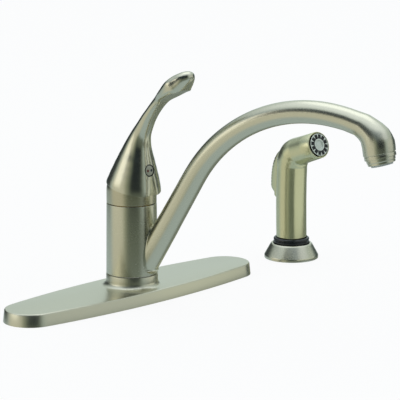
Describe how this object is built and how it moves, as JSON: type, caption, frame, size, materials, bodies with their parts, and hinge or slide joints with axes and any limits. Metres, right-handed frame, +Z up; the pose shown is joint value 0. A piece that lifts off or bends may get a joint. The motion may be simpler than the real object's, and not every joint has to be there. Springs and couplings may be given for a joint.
{
  "type": "side spray kitchen faucet",
  "caption": "Single-handle kitchen faucet on an oval deck plate, with an arched swivel spout, a lever mixer and a separate pull-out hand sprayer in its own holder.",
  "frame": {"origin": "centre of the deck plate's footprint, on the top of the sink ledge, on the faucet's upright axis", "axes": "+Z up, -Y forward over the sink towards the user, +X along the ledge towards the sprayer"},
  "size_m": [0.3657, 0.2693, 0.2486],
  "materials": {
    "brushed_nickel": "brushed nickel, satin, fine grain",
    "plated_plastic": "brushed-nickel plating over plastic",
    "brass": "machined",
    "zinc_steel": "zinc plated",
    "black_rubber": "matte",
    "black_plastic": "gloss",
    "grey_plastic": "satin",
    "white_plastic": "satin",
    "white_ceramic": "lapped ceramic",
    "button_plastic": "gloss, a red half and a blue half marking hot and cold"
  },
  "bodies": {
    "base": {"deck_plate": "brushed_nickel", "plate_gasket": "black_rubber", "valve_body": "brass", "spout_seals": "black_rubber", "spout_glide_ring": "white_plastic", "diverter_valve": "black_rubber", "supply_inlets": "brass", "spray_outlet": "brass", "mounting_studs": "zinc_steel", "mounting_washers": "zinc_steel", "mounting_nuts": "white_plastic", "cartridge_gasket": "black_rubber", "cartridge_housing": "white_plastic", "fixed_disc": "white_ceramic", "cap": "brushed_nickel", "spray_holder": "plated_plastic", "spray_bushing": "black_plastic", "spray_holder_washer": "zinc_steel", "spray_holder_nut": "white_plastic"},
    "spout": {"spout": "brushed_nickel", "aerator_shell": "brushed_nickel", "aerator_washer": "black_rubber", "aerator_screen": "grey_plastic"},
    "carrier": {"lever_carrier": "white_plastic", "lever_pin": "zinc_steel"},
    "handle": {"lever_stem": "zinc_steel", "handle": "brushed_nickel", "handle_set_screw": "zinc_steel", "temperature_button": "button_plastic"},
    "disc": {"sliding_disc": "white_ceramic", "disc_driver": "white_plastic"},
    "sprayer": {"spray_body": "plated_plastic", "spray_face_ring": "plated_plastic", "spray_nozzle": "grey_plastic", "spray_trigger_pin": "zinc_steel", "spray_valve_cage": "grey_plastic", "spray_plunger_spring": "zinc_steel", "hose_connector": "black_plastic"},
    "trigger": {"spray_trigger": "plated_plastic"},
    "plunger": {"spray_plunger": "grey_plastic"}
  },
  "joints": [
    {"name": "spout_swivel", "type": "hinge", "parent": "base", "child": "spout", "pos_m": [0, 0, 0.05], "axis": [0, 0, 1], "range_deg": [-75, 45]},
    {"name": "handle_turn", "type": "hinge", "parent": "base", "child": "carrier", "pos_m": [0, 0, 0.088], "axis": [0, 0, 1], "range_deg": [-50, 50]},
    {"name": "handle_lift", "type": "hinge", "parent": "carrier", "child": "handle", "pos_m": [0, 0, 0.088], "axis": [-1, 0, 0], "range_deg": [0, 22]},
    {"name": "disc_slide", "type": "slide", "parent": "carrier", "child": "disc", "axis": [0, -1, 0], "range_m": [0, 0.00346]},
    {"name": "sprayer_lift", "type": "slide", "parent": "base", "child": "sprayer", "axis": [0, 0, 1], "range_m": [0, 0.11]},
    {"name": "trigger_squeeze", "type": "hinge", "parent": "sprayer", "child": "trigger", "pos_m": [0.2041, 0.00855, 0.093], "axis": [-0.9945, 0.1045, 0], "range_deg": [0, 6.5], "stiffness_Nm_per_rad": 1.5, "springref_deg": -2.86},
    {"name": "plunger_slide", "type": "slide", "parent": "sprayer", "child": "plunger", "axis": [-0.1045, -0.9945, 0], "range_m": [0, 0.00239], "deforming": ["spray_plunger_spring"]}
  ],
  "couplings": [
    {"joint": "disc_slide", "follows": "handle_lift", "m_per_rad": 0.009},
    {"joint": "plunger_slide", "follows": "trigger_squeeze", "m_per_rad": 0.021}
  ]
}
